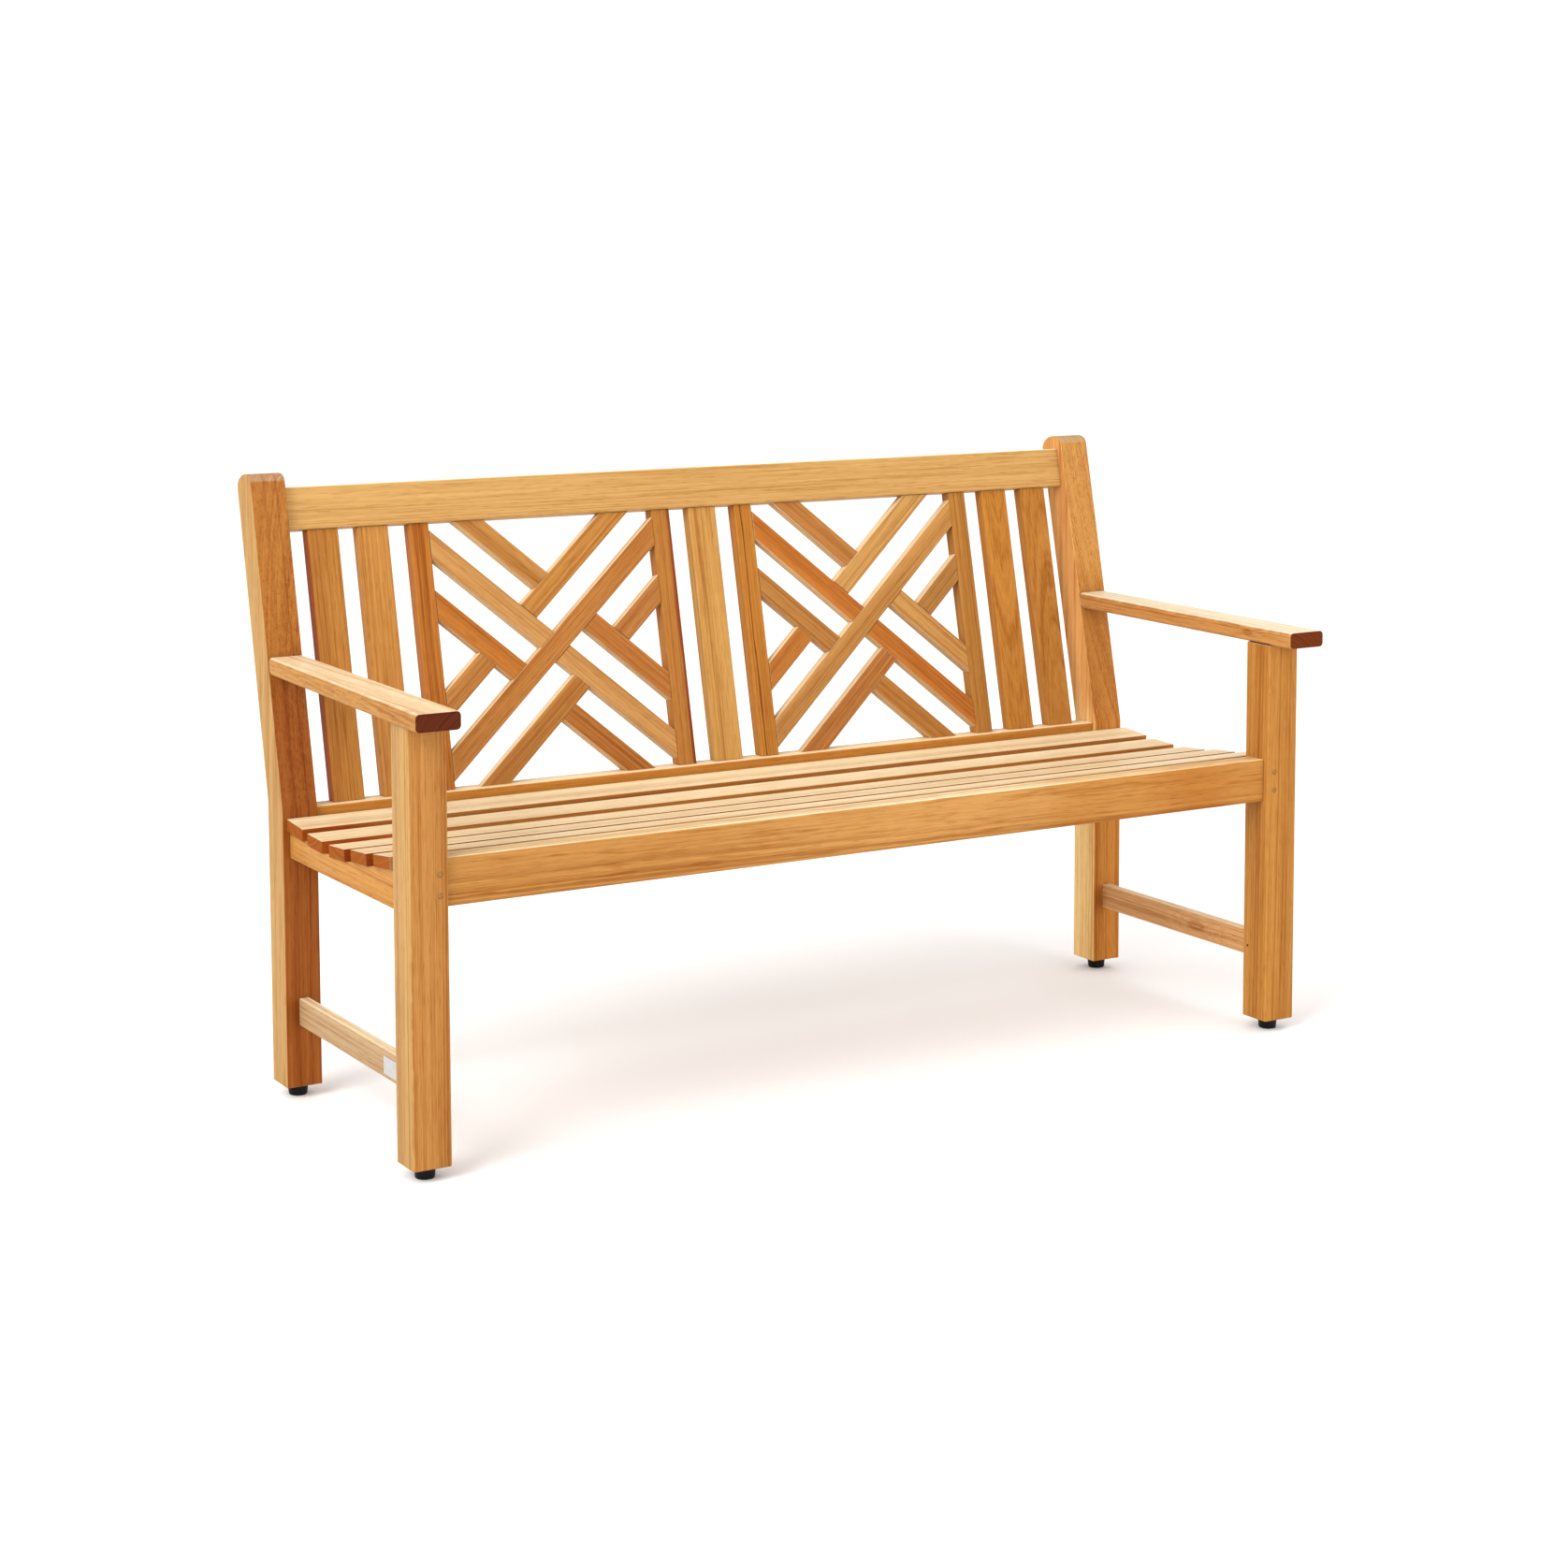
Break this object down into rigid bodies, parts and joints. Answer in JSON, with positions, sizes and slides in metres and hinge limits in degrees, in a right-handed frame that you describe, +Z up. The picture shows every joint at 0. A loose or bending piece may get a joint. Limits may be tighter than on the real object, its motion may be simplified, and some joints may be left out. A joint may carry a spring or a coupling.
{
  "type": "garden bench",
  "caption": "Slatted wooden garden bench with flat armrests, a dished seat and a raked back of upright slats and diagonal lattice panels.",
  "frame": {"origin": "on the floor, at the middle of the outline in X and in Y", "axes": "+X along the bench, -Y towards the front where a sitter's feet go, +Z up"},
  "size_m": [1.519, 0.6579, 0.9029],
  "materials": {
    "teak_gold": "satin oiled teak",
    "teak_honey": "satin oiled teak",
    "teak_amber": "satin oiled teak",
    "teak_russet": "satin oiled teak",
    "teak_pale": "satin oiled teak",
    "black_plastic": "moulded, satin",
    "white_label": "printed film left blank"
  },
  "bodies": {
    "root": {"seat_slat_1": "teak_pale", "seat_slat_2": "teak_pale", "seat_slat_3": "teak_gold", "seat_slat_4": "teak_pale", "seat_slat_5": "teak_gold", "rear_post_left": "teak_russet", "front_leg_left": "teak_honey", "armrest_left": "teak_pale", "side_seat_rail_left": "teak_gold", "side_stretcher_left": "teak_gold", "rail_peg_left_lower": "teak_amber", "rail_peg_left_upper": "teak_amber", "stretcher_pin_left": "teak_russet", "foot_front_left": "black_plastic", "foot_rear_left": "black_plastic", "rear_post_right": "teak_honey", "front_leg_right": "teak_honey", "armrest_right": "teak_pale", "side_seat_rail_right": "teak_gold", "side_stretcher_right": "teak_amber", "rail_peg_right_lower": "teak_amber", "rail_peg_right_upper": "teak_amber", "stretcher_pin_right": "teak_russet", "foot_front_right": "black_plastic", "foot_rear_right": "black_plastic", "front_seat_rail": "teak_honey", "lower_back_rail": "teak_amber", "top_back_rail": "teak_gold", "centre_seat_bearer": "teak_amber", "blank_label": "white_label", "back_slat_1": "teak_russet", "back_slat_2": "teak_amber", "back_stile_3": "teak_amber", "back_stile_4": "teak_russet", "back_slat_5": "teak_gold", "back_stile_6": "teak_honey", "back_stile_7": "teak_honey", "back_slat_8": "teak_amber", "back_slat_9": "teak_honey", "lattice_left_rising_top": "teak_gold", "lattice_left_rising_left": "teak_amber", "lattice_left_rising_bottom": "teak_honey", "lattice_left_rising_right": "teak_amber", "lattice_left_falling_top": "teak_honey", "lattice_left_falling_left": "teak_honey", "lattice_left_falling_right": "teak_honey", "lattice_left_falling_bottom": "teak_honey", "lattice_left_rising_long": "teak_honey", "lattice_left_falling_long": "teak_honey", "lattice_right_rising_top": "teak_gold", "lattice_right_rising_left": "teak_amber", "lattice_right_rising_bottom": "teak_honey", "lattice_right_rising_right": "teak_amber", "lattice_right_falling_top": "teak_honey", "lattice_right_falling_left": "teak_honey", "lattice_right_falling_right": "teak_honey", "lattice_right_falling_bottom": "teak_honey", "lattice_right_rising_long": "teak_honey", "lattice_right_falling_long": "teak_russet"}
  },
  "joints": []
}
